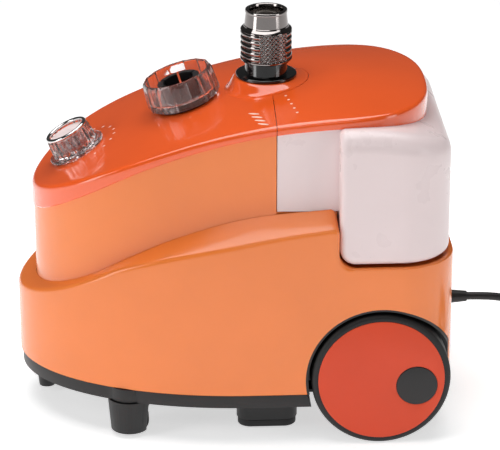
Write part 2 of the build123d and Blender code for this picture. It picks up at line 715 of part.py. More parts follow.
def cord_gland():
    """Strain relief in the stern: two flanges and a tapered sleeve."""
    place = Pos(BODY_HALF_LENGTH, 0, CORD_EXIT[2]) * Rot(0, 90, 0)
    gland = Cylinder(11, 3, align=STANDING) + Pos(0, 0, -8) * Cylinder(7.8, 8, align=STANDING)
    gland += Pos(0, 0, -7) * Cylinder(10, 3, align=STANDING)
    gland += Pos(0, 0, 3) * Cone(6.5, 4.6, CORD_EXIT[0] - BODY_HALF_LENGTH - 3, align=STANDING)
    gland += Pos(0, 0, 6) * Cylinder(8, 2.5, align=STANDING)
    return place * gland


def cord_route():
    """Points of the lead from the gland to the coil, chosen by hand."""
    return [
        CORD_EXIT,
        (231, 0, 82),
        (255, 0.8, 76),
        (277, 2.2, 64),
        (296, 4, 47.5),
        (313, 5.8, 29.5),
        (331, 7.6, 13),
        (352, 9, 4.2),
        (371, 9.5, 3.6),
    ]


def power_cord():
    """Lead from the gland to the coil, as straight runs joined by tangent arcs."""
    points = [Vector(*point) for point in cord_route()]
    radii = []
    for before, corner, after in zip(points, points[1:], points[2:]):
        turn = math.radians((corner - before).get_angle(after - corner))
        shorter = min((corner - before).length, (after - corner).length)
        radii.append(0.45 * shorter / math.tan(turn / 2))
    print("lead radii", [round(radius, 1) for radius in radii])
    path = FilletPolyline(*points, radius=radii)
    tube = sweep(Plane(origin=path @ 0, z_dir=path % 0) * Circle(CORD_R), path=path)
    full = math.pi * CORD_R**2 * path.length
    print("lead length", round(path.length, 1), "volume ratio", round(tube.volume / full, 4))
    return tube


def cord_coil():
    """Outer shape of the put-away turns of the lead."""
    ring = round_bar(COIL_OUTER_R, COIL_HEIGHT, Pos(*COIL_CENTRE, 0.1), COIL_INNER_R)
    return fillet(ring.edges().filter_by(GeomType.CIRCLE), 5)


def cord_tie():
    """Strap round the turns on one side of the coil."""
    place = Pos(COIL_CENTRE[0] + COIL_MEAN_R, COIL_CENTRE[1], COIL_HEIGHT / 2 + 0.7)
    return place * (Box(23.4, 8, COIL_HEIGHT + 1.2) - Box(21, 9, COIL_HEIGHT - 1.2))


def cord_tail():
    """Last stretch of the lead, from the coil down to the plug."""
    face_x, plug_y, plug_z = PLUG_FACE
    path = FilletPolyline((face_x + 46, plug_y + 1, 16.5), (face_x + 23, plug_y, 10), PLUG_FACE, radius=100)
    tube = sweep(Plane(origin=path @ 0, z_dir=path % 0) * Circle(CORD_R), path=path)
    return tube - block((0, face_x), (plug_y - 9, plug_y + 9), (plug_z - 7, plug_z + 7))


def plug_body():
    """Flat two-pin plug beside the coil."""
    middle = Pos(PLUG_FACE[0] - 17, PLUG_FACE[1], 0.1)
    body = middle * extrude(RectangleRounded(34, 26, 7), 2 * (PLUG_FACE[2] - 0.1))
    return chamfer(body.edges().group_by(Axis.Z)[-1], 2)


def plug_pins():
    """Two round pins of the plug."""
    place = Pos(PLUG_FACE[0] - 34, *PLUG_FACE[1:]) * Rot(0, -90, 0)
    return [place * Pos(0, offset_y) * Cylinder(2, 19, align=STANDING) for offset_y in (-9.5, 9.5)]


POLE_PLACE = Pos(POLE_X, 0, deck_z(POLE_X)) * Rot(0, -POLE_TILT, 0)
DIAL_PLACE = Pos(DIAL_X, 0, deck_z(DIAL_X)) * Rot(0, -DIAL_TILT, 0)

SINGLE = [
    base_tray, case_screws, lower_shell, upper_shell, front_deck, tank_seat,
    outlet_collar, outlet_pipe, outlet_seal,
    hose_nut, boiler_pan, boiler_lid, heating_element, thermostat, thermal_fuse, heat_shield, water_hose,
    terminal_block, pole_socket, pole_collet, pole_clamp_ring, control_dial, dial_face, dial_bezel, dial_shaft,
    rotary_switch, water_tank, tank_floor, tank_cover, tank_cap, cap_floor, cap_cage, valve_stem, valve_seal,
    valve_spring, axle, axle_washers,
    cord_gland, power_cord, cord_coil, cord_tie, cord_tail, plug_body, plug_pins,
]
PAIRED = [wheel_arch, tyre, wheel_disc, wheel_inlay, caster_fork, caster_pin, caster_wheel, foot_pad]


def as_one(shape):
    """Several loose solids of one node as a single compound."""
    return Compound(children=list(shape)) if isinstance(shape, list) else shape


os.makedirs("parts", exist_ok=True)
for make in SINGLE:
    export(make.__name__, as_one(make()))
for make in PAIRED:
    for name, side in SIDES.items():
        export(f"{name}_{make.__name__}", as_one(make(side)))
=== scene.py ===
import bpy
import math
from mathutils import Matrix, Vector


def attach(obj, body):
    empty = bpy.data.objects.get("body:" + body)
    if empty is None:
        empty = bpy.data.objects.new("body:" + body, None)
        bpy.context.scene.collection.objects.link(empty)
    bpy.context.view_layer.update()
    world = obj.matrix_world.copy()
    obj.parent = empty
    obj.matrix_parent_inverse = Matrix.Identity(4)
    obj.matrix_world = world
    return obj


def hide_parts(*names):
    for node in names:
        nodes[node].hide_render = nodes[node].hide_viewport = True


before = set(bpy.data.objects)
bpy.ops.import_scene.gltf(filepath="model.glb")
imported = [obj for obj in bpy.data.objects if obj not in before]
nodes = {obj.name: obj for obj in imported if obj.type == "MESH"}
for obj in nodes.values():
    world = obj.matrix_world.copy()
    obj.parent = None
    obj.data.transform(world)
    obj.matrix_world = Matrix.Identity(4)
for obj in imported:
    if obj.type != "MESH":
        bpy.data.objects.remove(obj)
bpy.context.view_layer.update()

# Studio: a white floor that runs into a white surround, and a long lens on the dial end's side.
# The steamer is lit by large soft panels, which its glossy mouldings mirror.
CAMERA_TURN = math.radians(-3)
CAMERA_RISE = math.radians(22)
CAMERA_REACH = 2.391
LOOK_AT = Vector((0.0168, 0, 0.1534))
SKY_FRONT, SKY_BACK, SKY_BLEND = 0.42, 1.1, 0.8


def shade(red, green, blue):
    """Scene-linear colour of a swatch given in 0 to 255 screen values."""
    linear = []
    for level in (red / 255, green / 255, blue / 255):
        linear.append(level / 12.92 if level <= 0.04045 else ((level + 0.055) / 1.055) ** 2.4)
    return (*linear, 1)


def back_of(turn, rise):
    """Unit vector from the object towards a camera or a lamp."""
    return Vector((math.sin(turn) * math.cos(rise), -math.cos(turn) * math.cos(rise), math.sin(rise)))


def camera():
    place = LOOK_AT + CAMERA_REACH * back_of(CAMERA_TURN, CAMERA_RISE)
    bpy.ops.object.camera_add(location=place)
    eye = bpy.context.object
    eye.rotation_euler = (LOOK_AT - place).to_track_quat("-Z", "Y").to_euler()
    eye.data.lens = 198
    eye.data.sensor_width = 36
    eye.data.clip_end = 20
    bpy.context.scene.camera = eye


def panel(name, place, width, height, power):
    """Soft light panel that faces the middle of the steamer."""
    bpy.ops.object.light_add(type="AREA", location=place)
    lamp = bpy.context.object
    lamp.name = name
    lamp.rotation_euler = (LOOK_AT - Vector(place)).to_track_quat("-Z", "Y").to_euler()
    lamp.data.shape = "RECTANGLE"
    lamp.data.size = width
    lamp.data.size_y = height
    lamp.data.energy = power


def surround():
    """White world, dimmer in front so that the near walls keep their colour, over a white floor."""
    world = bpy.data.worlds.new("studio_white")
    world.use_nodes = True
    tree = world.node_tree
    direction = tree.nodes.new("ShaderNodeTexCoord")
    parts = tree.nodes.new("ShaderNodeSeparateXYZ")
    depth = tree.nodes.new("ShaderNodeMapRange")
    depth.inputs["From Min"].default_value = -SKY_BLEND
    depth.inputs["From Max"].default_value = SKY_BLEND
    depth.inputs["To Min"].default_value = SKY_FRONT
    depth.inputs["To Max"].default_value = SKY_BACK
    tree.links.new(direction.outputs["Generated"], parts.inputs["Vector"])
    tree.links.new(parts.outputs["Y"], depth.inputs["Value"])
    tree.links.new(depth.outputs["Result"], tree.nodes["Background"].inputs["Strength"])
    bpy.context.scene.world = world
    bpy.ops.mesh.primitive_plane_add(size=14, location=(0, 0, -0.0004))
    floor = bpy.context.object
    floor.name = "studio_floor"
    paper = bpy.data.materials.new("white_paper")
    paper.use_nodes = True
    shader = paper.node_tree.nodes["Principled BSDF"]
    shader.inputs["Base Color"].default_value = (0.96, 0.96, 0.96, 1)
    shader.inputs["Roughness"].default_value = 0.9
    shader.inputs["Emission Color"].default_value = (1, 1, 1, 1)
    shader.inputs["Emission Strength"].default_value = 0.6
    floor.data.materials.append(paper)


camera()
surround()
panel("top_panel", (-0.1, 0.1, 1.5), 1.5, 1.2, 19)
panel("left_panel", (-1.5, -0.7, 0.6), 0.5, 1.1, 7)
panel("right_panel", (1.6, -0.9, 0.6), 0.6, 1.0, 5)
panel("front_panel", (0.1, -1.9, 1.5), 1.2, 0.4, 2.5)
bpy.context.scene.view_settings.view_transform = "Standard"

# Mains lead: a round two-core PVC flex, 1.8 m long, that leaves the stern through a strain relief.
# It drops to the floor, and what is left of it is wound in a coil with a strap, ending in a flat plug.
LEAD_DIAMETER = 0.007
LEAD_ROUTE = [
    (0.208, 0, 0.082),
    (0.231, 0, 0.082),
    (0.255, 0.0008, 0.076),
    (0.277, 0.0022, 0.064),
    (0.296, 0.004, 0.0475),
    (0.313, 0.0058, 0.0295),
    (0.331, 0.0076, 0.013),
    (0.352, 0.009, 0.0042),
    (0.371, 0.0095, 0.0036),
]
LEAD_TAIL = [(0.384, -0.0812, 0.0172), (0.366, -0.0808, 0.0142),
             (0.348, -0.0803, 0.0097), (0.330, -0.080, 0.0071)]
COIL_X, COIL_Y = 0.384, -0.036
COIL_STEPS = 16


def finish(name, colour, rough, spread=0.04, grain=900, bump=0.02, **fixed):
    """Moulded finish: a colour that drifts slightly, a roughness that varies, and a fine grain."""
    made = bpy.data.materials.new(name)
    made.use_nodes = True
    tree = made.node_tree
    shader = tree.nodes["Principled BSDF"]
    place = tree.nodes.new("ShaderNodeTexCoord")
    broad = tree.nodes.new("ShaderNodeTexNoise")
    broad.inputs["Scale"].default_value = 14
    broad.inputs["Detail"].default_value = 4
    fine = tree.nodes.new("ShaderNodeTexNoise")
    fine.inputs["Scale"].default_value = grain
    fine.inputs["Detail"].default_value = 3
    tint = tree.nodes.new("ShaderNodeValToRGB")
    tint.color_ramp.elements[0].position = 0.3
    tint.color_ramp.elements[1].position = 0.7
    tint.color_ramp.elements[0].color = (*[level * (1 - spread) for level in colour[:3]], 1)
    tint.color_ramp.elements[1].color = (*[min(1, level * (1 + spread)) for level in colour[:3]], 1)
    gloss = tree.nodes.new("ShaderNodeMapRange")
    gloss.inputs["To Min"].default_value = rough * 0.85
    gloss.inputs["To Max"].default_value = rough * 1.2
    relief = tree.nodes.new("ShaderNodeBump")
    relief.inputs["Strength"].default_value = bump
    relief.inputs["Distance"].default_value = 0.0005
    for texture in (broad, fine):
        tree.links.new(place.outputs["Object"], texture.inputs["Vector"])
    tree.links.new(broad.outputs["Fac"], tint.inputs["Fac"])
    tree.links.new(fine.outputs["Fac"], gloss.inputs["Value"])
    tree.links.new(fine.outputs["Fac"], relief.inputs["Height"])
    tree.links.new(tint.outputs["Color"], shader.inputs["Base Color"])
    tree.links.new(gloss.outputs["Result"], shader.inputs["Roughness"])
    tree.links.new(relief.outputs["Normal"], shader.inputs["Normal"])
    for socket, level in fixed.items():
        shader.inputs[socket.replace("_", " ")].default_value = level
    return made


def dress(material, *names):
    """Gives kept pieces of the frame their finish."""
    for name in names:
        held = nodes[name].data.materials
        if held:
            held[0] = material
        else:
            held.append(material)


def coil_points():
    """Turns of the put-away lead, three columns wide and three layers high, wound inwards and out."""
    column = [0.0457, 0.0386, 0.0315]
    path = [(0, 0), (1, 0), (2, 0), (2, 1), (1, 1), (0, 1), (0, 2)]
    points = []
    for step in range(1, int(6.5 * COIL_STEPS)):
        turn = step / COIL_STEPS
        whole = int(turn)
        part = turn - whole
        here, after = path[whole], path[min(whole + 1, 6)]
        ease = max(0.0, (part - 0.62) / 0.38)
        ease = ease * ease * (3 - 2 * ease)
        radius = column[here[0]] + (column[after[0]] - column[here[0]]) * ease
        height = 0.0036 + 0.0071 * (here[1] + (after[1] - here[1]) * ease)
        angle = math.pi / 2 - 2 * math.pi * turn
        points.append((COIL_X + radius * math.cos(angle), COIL_Y + radius * math.sin(angle), height))
    return points


def mains_lead():
    line = bpy.data.curves.new("mains_lead", "CURVE")
    line.dimensions = "3D"
    spline = line.splines.new("NURBS")
    points = [*LEAD_ROUTE, *coil_points(), *LEAD_TAIL]
    spline.points.add(len(points) - 1)
    for place, spot in zip(spline.points, points):
        place.co = (*spot, 1)
    spline.order_u = 3
    spline.use_endpoint_u = True
    spline.resolution_u = 6
    line.bevel_depth = LEAD_DIAMETER / 2
    line.bevel_resolution = 5
    line.use_fill_caps = True
    lead = bpy.data.objects.new("mains_lead", line)
    bpy.context.collection.objects.link(lead)
    return lead


flex = finish("lead_pvc", shade(24, 24, 25), 0.42, grain=500, bump=0.05)
dress(flex, "cord_gland", "plug_body")
dress(finish("tie_strap", shade(14, 14, 15), 0.6, grain=1400, bump=0.2), "cord_tie")
dress(finish("pin_brass", shade(214, 196, 150), 0.2, Metallic=1.0), "plug_pins")
lead = mains_lead()
lead.data.materials.append(flex)
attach(lead, "housing")
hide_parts("power_cord", "cord_coil", "cord_tail")

# Lower body: one large ABS moulding in light orange, with a swept shoulder and a sloping ledge.
# It is moulded as an open bucket, notched over the stern for the tank and cut out for the rear wheels.
BODY_LENGTH, BODY_WIDTH, NOSE_X = 0.185, 0.120, 0.012
STERN_R = 0.048
SHELL_BOTTOM, RIM_HEIGHT, NOTCH_X, NOTCH_R = 0.046, 0.160, 0.085, 0.013
SHOULDER_EASE, RIM_EASE, CORNER_EASE = 0.0032, 0.0012, 0.006
FAN_X = 0.050
WHEEL_X, WHEEL_Z, WELL_R, WELL_Y = 0.1216, 0.059, 0.064, 0.089
SHOULDER = [(-190, 106), (-158, 121), (-104, 143.5), (-64, 162.5), (-20, 176.5), (40, 189), (90, 196)]
LEDGE_ROOT = [(-190, 107), (-158, 123), (-117, 145.5), (-90, 161.5), (-50, 180), (11, 198), (90, 207)]
UP = Vector((0, 0, 1))


def height_on(curve, x):
    """Height in metres of a smooth side view curve, given in millimetres, at a place x in metres."""
    x = min(max(x * 1000, curve[0][0]), curve[-1][0])
    slopes = []
    for index in range(len(curve)):
        before, after = curve[max(index - 1, 0)], curve[min(index + 1, len(curve) - 1)]
        slopes.append((after[1] - before[1]) / (after[0] - before[0]))
    for index in range(len(curve) - 1):
        (x0, z0), (x1, z1) = curve[index], curve[index + 1]
        if x <= x1:
            break
    span = x1 - x0
    t = (x - x0) / span
    start = (1 + 2 * t) * (1 - t) ** 2 * z0 + t * (1 - t) ** 2 * span * slopes[index]
    end = t * t * (3 - 2 * t) * z1 + t * t * (t - 1) * span * slopes[index + 1]
    return (start + end) / 1000


def shaped_grid(name, columns, rows, place):
    """A grid moved corner by corner to place(across, up), each from 0 to 1, with its seams merged."""
    bpy.ops.object.select_all(action="DESELECT")
    bpy.ops.mesh.primitive_grid_add(x_subdivisions=columns, y_subdivisions=rows, size=1)
    piece = bpy.context.object
    piece.name = name
    for corner in piece.data.vertices:
        corner.co = place(corner.co.x + 0.5, corner.co.y + 0.5)
    merge(piece)
    return piece


def merge(piece):
    """Merges doubled corners and turns every face outwards."""
    bpy.ops.object.select_all(action="DESELECT")
    piece.select_set(True)
    bpy.context.view_layer.objects.active = piece
    bpy.ops.object.mode_set(mode="EDIT")
    bpy.ops.mesh.select_all(action="SELECT")
    bpy.ops.mesh.remove_doubles(threshold=0.00001)
    bpy.ops.mesh.dissolve_degenerate(threshold=0.000005)
    bpy.ops.mesh.select_all(action="SELECT")
    bpy.ops.mesh.normals_make_consistent(inside=False)
    bpy.ops.object.mode_set(mode="OBJECT")


def apply_with(piece, kind, **settings):
    """Adds one modifier with its settings and applies it."""
    bpy.ops.object.select_all(action="DESELECT")
    piece.select_set(True)
    bpy.context.view_layer.objects.active = piece
    made = piece.modifiers.new(kind.lower(), kind)
    for setting, value in settings.items():
        setattr(made, setting, value)
    bpy.ops.object.modifier_apply(modifier=made.name)


def smooth(piece, degrees=35):
    """Smooth shading that breaks at sharp edges."""
    bpy.ops.object.select_all(action="DESELECT")
    piece.select_set(True)
    bpy.context.view_layer.objects.active = piece
    bpy.ops.object.shade_smooth_by_angle(angle=math.radians(degrees))


def fit(piece, material, slot, body, *replaced):
    """Gives a finished piece its finish and its body, and hides what it stands for; the slot is not used."""
    piece.data.materials.clear()
    piece.data.materials.append(material)
    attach(piece, body)
    if replaced:
        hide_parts(*replaced)
    return piece


def bar(radius, middle, depth, along):
    """Scratch cylinder for cutting, lying along Y or standing."""
    bpy.ops.object.select_all(action="DESELECT")
    turned = (math.pi / 2, 0, 0) if along == "Y" else (0, 0, 0)
    bpy.ops.mesh.primitive_cylinder_add(
        vertices=128, radius=radius, depth=depth, location=middle, rotation=turned)
    return bpy.context.object


def cut(piece, cutter):
    """Cuts a scratch solid out of a piece and removes it."""
    apply_with(piece, "BOOLEAN", operation="DIFFERENCE", solver="MANIFOLD", object=cutter)
    bpy.data.objects.remove(cutter, do_unlink=True)


def plan_hull(*names):
    """Half plan outline of some nodes, from nose to stern on the +Y side, as a convex chain."""
    corners = [v.co for n in names for v in nodes[n].data.vertices]
    spots = sorted({(round(c.x, 5), round(c.y, 5)) for c in corners if c.y >= -1e-6})
    chain = []
    for x, y in spots:
        while len(chain) > 1:
            (ax, ay), (bx, by) = chain[-2], chain[-1]
            if (bx - ax) * (y - ay) - (by - ay) * (x - ax) >= 0:
                chain.pop()
            else:
                break
        chain.append((x, y))
    return [Vector((x, y, 0)) for x, y in chain]


deck_side = plan_hull("front_deck", "tank_cover")


def outward_of(chain, index):
    """Outward direction of a chain, in plan, at one of its points."""
    along = chain[min(index + 1, len(chain) - 1)] - chain[max(index - 1, 0)]
    return Vector((-along.y, along.x, 0)).normalized()


def deck_point(towards):
    """Where a line in plan from the body's middle axis out to a point crosses the upper body's wall."""
    foot = Vector((max(towards.x, NOSE_X), 0, 0))
    away = towards - foot
    best = None
    for a, b in zip(deck_side, deck_side[1:]):
        edge = b - a
        cross = away.x * edge.y - away.y * edge.x
        if abs(cross) < 1e-12:
            continue
        share = ((a.x - foot.x) * edge.y - (a.y - foot.y) * edge.x) / cross
        spot = ((a.x - foot.x) * away.y - (a.y - foot.y) * away.x) / cross
        if share > 0 and -1e-6 <= spot <= 1 + 1e-6:
            best = foot + away * share
    return best - away.normalized() * 0.0012


def ledge_height(x, y):
    """Height of the ledge between its root and the shoulder."""
    share = min(max((abs(y) - 0.096) / 0.025, 0), 1)
    return height_on(LEDGE_ROOT, x) * (1 - share) + height_on(SHOULDER, x) * share


def shell_stations():
    """Bottom point, top point and inner lip point of the moulding at each step from nose to stern."""
    stations = []
    for step in range(41):
        angle = math.pi * (1 - step / 80)
        foot = Vector((NOSE_X + (BODY_LENGTH + NOSE_X) * math.cos(angle), BODY_WIDTH * math.sin(angle), 0))
        stations.append((foot, ledge_point(foot), ledge_lip(foot)))
    for step in range(1, 13):
        foot = Vector((NOSE_X + (FAN_X - NOSE_X) * step / 12, BODY_WIDTH, 0))
        above = Vector((NOSE_X + (0.079 - NOSE_X) * step / 12, BODY_WIDTH, 0))
        stations.append((foot, ledge_point(above), ledge_lip(above)))
    corner_z = ledge_height(NOTCH_X, BODY_WIDTH) - CORNER_EASE
    drop = []
    for step in range(1, 6):
        angle = math.pi / 2 * step / 5
        x = NOTCH_X - CORNER_EASE + CORNER_EASE * math.sin(angle)
        drop.append((x, ledge_height(x, BODY_WIDTH) - CORNER_EASE * (1 - math.cos(angle))))
    for step in range(1, 5):
        drop.append((NOTCH_X, corner_z + (RIM_HEIGHT + NOTCH_R - corner_z) * step / 4))
    for step in range(1, 9):
        angle = math.pi / 2 * step / 8
        drop.append((NOTCH_X + NOTCH_R * (1 - math.cos(angle)), RIM_HEIGHT + NOTCH_R * (1 - math.sin(angle))))
    inner_y = deck_point(Vector((NOTCH_X, BODY_WIDTH, 0))).y
    for index, (x, z) in enumerate(drop):
        share = min(max((index - 6) / 10, 0), 1)
        foot = Vector((FAN_X + (0.100 - FAN_X) * (index + 1) / len(drop), BODY_WIDTH, 0))
        lip_y = inner_y + (BODY_WIDTH - 0.004 - inner_y) * share
        lip = Vector((x, lip_y, z + 0.010 * (1 - min(index / 6, 1))))
        stations.append((foot, Vector((x, BODY_WIDTH, z)), lip))
    turn_x, turn_y = BODY_LENGTH - STERN_R, BODY_WIDTH - STERN_R
    rim = [Vector((0.100 + (turn_x - 0.100) * step / 6, BODY_WIDTH, 0)) for step in range(1, 7)]
    for step in range(1, 15):
        angle = math.pi / 2 * (1 - step / 14)
        rim.append(Vector((turn_x + STERN_R * math.cos(angle), turn_y + STERN_R * math.sin(angle), 0)))
    rim += [Vector((BODY_LENGTH, turn_y * (1 - step / 8), 0)) for step in range(1, 9)]
    for foot in rim:
        away = Vector((max(foot.x - turn_x, 0), max(foot.y - turn_y, 0), 0)).normalized()
        top = foot + UP * RIM_HEIGHT
        stations.append((foot, top, top - away * 0.004))
    return stations


def ledge_point(foot):
    return Vector((foot.x, foot.y, ledge_height(foot.x, foot.y)))


def ledge_lip(foot):
    lip = deck_point(foot)
    return Vector((lip.x, lip.y, height_on(LEDGE_ROOT, lip.x)))


def shell_profile(stations, index):
    """Points of the moulding's section at one station, from its bottom lip up and over to the inner lip."""
    foot, top, lip = stations[index]
    tangent = (stations[min(index + 1, len(stations) - 1)][1] - stations[max(index - 1, 0)][1]).normalized()
    inward = Vector((lip.x - top.x, lip.y - top.y, 0))
    facing = -inward.normalized() if top.y < BODY_WIDTH - 1e-6 else Vector((0, 1, 0))
    rise = tangent.cross(facing).normalized()
    if rise.dot(top - foot) < 0:
        rise = -rise
    over = (lip - top).normalized()
    on_rim = top.x > NOTCH_X + NOTCH_R - 1e-6
    ease = RIM_EASE if on_rim else min(SHOULDER_EASE, (lip - top).length * 0.45)
    base = foot + UP * SHELL_BOTTOM
    points = [base - facing * 0.0022, base - facing * 0.0008, base + UP * 0.0008]
    start = top - rise * ease
    for step in range(1, 8):
        points.append(points[2].lerp(start, step / 8))
    for step in range(5):
        s = step / 4
        points.append(start * (1 - s) ** 2 + top * 2 * s * (1 - s) + (top + over * ease) * s * s)
    for step in range(1, 4):
        points.append((top + over * ease).lerp(lip, step / 3))
    points.append(lip - UP * 0.005)
    return points


def lower_body():
    stations = shell_stations()
    sections = [shell_profile(stations, index) for index in range(len(stations))]
    for spot in [*sections[0], *sections[-1]]:
        spot.y = 0
    columns, rows = len(sections) - 1, len(sections[0]) - 1
    piece = shaped_grid(
        "lower_body", columns, rows, lambda u, v: sections[round(u * columns)][round(v * rows)])
    apply_with(piece, "MIRROR", use_axis=(False, True, False), merge_threshold=0.00005)
    merge(piece)
    apply_with(piece, "SOLIDIFY", thickness=0.0024, offset=-1)
    for side in (-1, 1):
        cut(piece, bar(WELL_R, (WHEEL_X, side * (WELL_Y + 0.03), WHEEL_Z), 0.06, "Y"))
    smooth(piece, 40)
    return piece


light_orange = finish("light_orange_abs", shade(248, 134, 62), 0.2, spread=0.03, grain=700, bump=0.015,
                      Coat_Weight=0.25, Coat_Roughness=0.08)
fit(lower_body(), light_orange, "body_orange", "housing", "lower_shell")
dress(light_orange, "upper_shell", "tank_seat")

# Deck: the dark orange cap of the body, a glossy ABS moulding with a soft edge and a hanging band.
# It is moulded in two halves that meet in a hairline seam. The front one rises in a cone round the outlet.
DECK_RIM = [(-176, 179), (-130, 211.8), (-70, 243.7), (10, 268), (90, 277.6), (145, 273), (190, 253)]
DECK_EASE, BAND_HANG = 0.0036, 0.0012
SEAM, SEAM_GAP = 0.0337, 0.0005
OUTLET = Vector((0.0305, 0, 0))
CONE_BASE_R, CONE_TOP_R, CONE_TOP = 0.036, 0.027, 0.291
POLE_X, POLE_TILT = -0.038, math.radians(17.5)
DIAL_X, DIAL_TILT = -0.131, math.radians(28)
DECK_RINGS = (0.03, 0.07, 0.13, 0.21, 0.31, 0.43, 0.56, 0.7, 0.85, 1)


def deck_height(x, y):
    """Height of the deck's crowned skin."""
    x, y = x * 1000, y * 1000
    fullness = 1 - ((x - 40) / 190) ** 2
    return (285.3 - 0.00098 * (x - 118) ** 2 + 8 * fullness * (1 - (y / 98.6) ** 2)) / 1000


def deck_loop(count=121):
    """Evenly spaced points of the deck's half outline with their outward directions."""
    lengths = [0]
    for a, b in zip(deck_side, deck_side[1:]):
        lengths.append(lengths[-1] + (b - a).length)
    loop = []
    for step in range(count):
        goal = lengths[-1] * step / (count - 1)
        index = min(max(i for i, reach in enumerate(lengths) if reach <= goal + 1e-9), len(deck_side) - 2)
        share = (goal - lengths[index]) / (lengths[index + 1] - lengths[index])
        loop.append(deck_side[index].lerp(deck_side[index + 1], share))
    faced = []
    for index, spot in enumerate(loop):
        facing = outward_of(loop, index)
        if index in (0, count - 1):
            facing = Vector((-1 if index == 0 else 1, 0, 0))
        faced.append((spot, facing))
    return faced


def deck_section(spot, facing):
    """Points of the deck from the inside of its hanging band, over its soft edge, to its middle line."""
    rim = height_on(DECK_RIM, spot.x) - BAND_HANG
    edge = deck_height(spot.x, spot.y)
    inner = spot - facing * DECK_EASE
    inner_top = Vector((inner.x, inner.y, deck_height(inner.x, inner.y)))
    points = [spot - facing * 0.0026 + UP * (rim + 0.0004), spot - facing * 0.0007 + UP * rim,
              spot + UP * (rim + 0.0007)]
    start = spot + UP * max(edge - DECK_EASE, rim + 0.001)
    for step in range(1, 4):
        points.append(points[2].lerp(start, step / 4))
    for step in range(6):
        s = step / 5
        points.append(start * (1 - s) ** 2 + (spot + UP * edge) * 2 * s * (1 - s) + inner_top * s * s)
    middle = Vector((min(max(inner.x, -0.11), 0.10), 0, 0))
    for share in DECK_RINGS:
        x, y = inner.x + (middle.x - inner.x) * share, inner.y * (1 - share)
        points.append(Vector((x, y, deck_height(x, y))))
    return points


def keep_side(piece, x, keep_low):
    """Cuts a piece with an upright plane across the body and keeps one side."""
    bpy.ops.object.select_all(action="DESELECT")
    piece.select_set(True)
    bpy.context.view_layer.objects.active = piece
    bpy.ops.object.mode_set(mode="EDIT")
    bpy.ops.mesh.select_all(action="SELECT")
    bpy.ops.mesh.bisect(
        plane_co=(x, 0, 0), plane_no=(1, 0, 0), clear_outer=keep_low, clear_inner=not keep_low)
    bpy.ops.object.mode_set(mode="OBJECT")


def deck_half(name, front):
    sections = [deck_section(*place) for place in deck_loop()]
    columns, rows = len(sections) - 1, len(sections[0]) - 1
    piece = shaped_grid(name, columns, rows, lambda u, v: sections[round(u * columns)][round(v * rows)])
    apply_with(piece, "MIRROR", use_axis=(False, True, False), merge_threshold=0.00005)
    keep_side(piece, SEAM if front else SEAM + SEAM_GAP, front)
    merge(piece)
    apply_with(piece, "SOLIDIFY", thickness=0.0022, offset=-1)
    if front:
        cut(piece, tilted_bar(0.0165, POLE_X, POLE_TILT))
        cut(piece, tilted_bar(0.0056, DIAL_X, DIAL_TILT))
    else:
        cut(piece, bar(CONE_BASE_R + 0.0004, (OUTLET.x, 0, 0.28), 0.12, "Z"))
    return piece


def over_deck(x, tilt):
    """Placement that stands on the deck at x, square to it."""
    return Matrix.Translation((x, 0, deck_height(x, 0))) @ Matrix.Rotation(-tilt, 4, "Y")


def tilted_bar(radius, x, tilt):
    bpy.ops.object.select_all(action="DESELECT")
    bpy.ops.mesh.primitive_cylinder_add(vertices=64, radius=radius, depth=0.05)
    made = bpy.context.object
    made.matrix_world = over_deck(x, tilt)
    return made


def outlet_cone():
    """Cone of the deck, hollowed at its foot so that it flows out of the skin."""
    reach = [(CONE_BASE_R, None), (CONE_BASE_R, 0), (0.0347, 0.03), (0.0335, 0.12), (0.0322, 0.29),
             (0.0308, 0.5), (0.0293, 0.73), (0.0279, 0.94), (CONE_TOP_R + 0.0004, 0.99),
             (CONE_TOP_R - 0.0003, 1), (0.014, 1)]

    def place(across, up):
        radius, lift = reach[round(up * (len(reach) - 1))]
        angle = 2 * math.pi * across
        x, y = OUTLET.x + radius * math.cos(angle), radius * math.sin(angle)
        skin = deck_height(x, y) + 0.0001
        return Vector((x, y, skin - 0.006 if lift is None else skin + (CONE_TOP - skin) * lift))

    piece = shaped_grid("cone_blank", 96, len(reach) - 1, place)
    apply_with(piece, "SOLIDIFY", thickness=0.0016, offset=-1)
    return piece


def joined(*pieces):
    """Several meshes as one piece, named as the first."""
    bpy.ops.object.select_all(action="DESELECT")
    for piece in pieces:
        piece.select_set(True)
    bpy.context.view_layer.objects.active = pieces[0]
    bpy.ops.object.join()
    return pieces[0]


dark_orange = finish("dark_orange_abs", shade(250, 98, 38), 0.15, spread=0.03, grain=600, bump=0.01,
                     Coat_Weight=0.8, Coat_Roughness=0.03)
front = joined(deck_half("deck_front", True), outlet_cone())
smooth(front, 32)
fit(front, dark_orange, "deck_orange", "housing", "front_deck")
rear = deck_half("deck_rear", False)
smooth(rear, 32)
fit(rear, dark_orange, "deck_orange", "tank", "tank_cover")

# Marks: pale pads printed on the deck. Four slanted dashes stand before the seam and five dots behind it.
# Nine dots make the dial's scale. Each is a thin domed film, about a tenth of a millimetre proud.


def mark(x, y, reach, half_width, lean):
    """One domed mark lying on the deck, longer along its lean."""
    bpy.ops.object.select_all(action="DESELECT")
    bpy.ops.mesh.primitive_circle_add(vertices=20, radius=1, fill_type="TRIFAN")
    made = bpy.context.object
    for corner in made.data.vertices:
        along, across = corner.co.x * reach, corner.co.y * half_width
        spot_x = x + along * math.cos(lean) - across * math.sin(lean)
        spot_y = y + along * math.sin(lean) + across * math.cos(lean)
        proud = 0.00018 if corner.co.length < 0.5 else 0.00008
        corner.co = (spot_x, spot_y, deck_height(spot_x, spot_y) + proud)
    apply_with(made, "SOLIDIFY", thickness=0.0002, offset=-1)
    return made


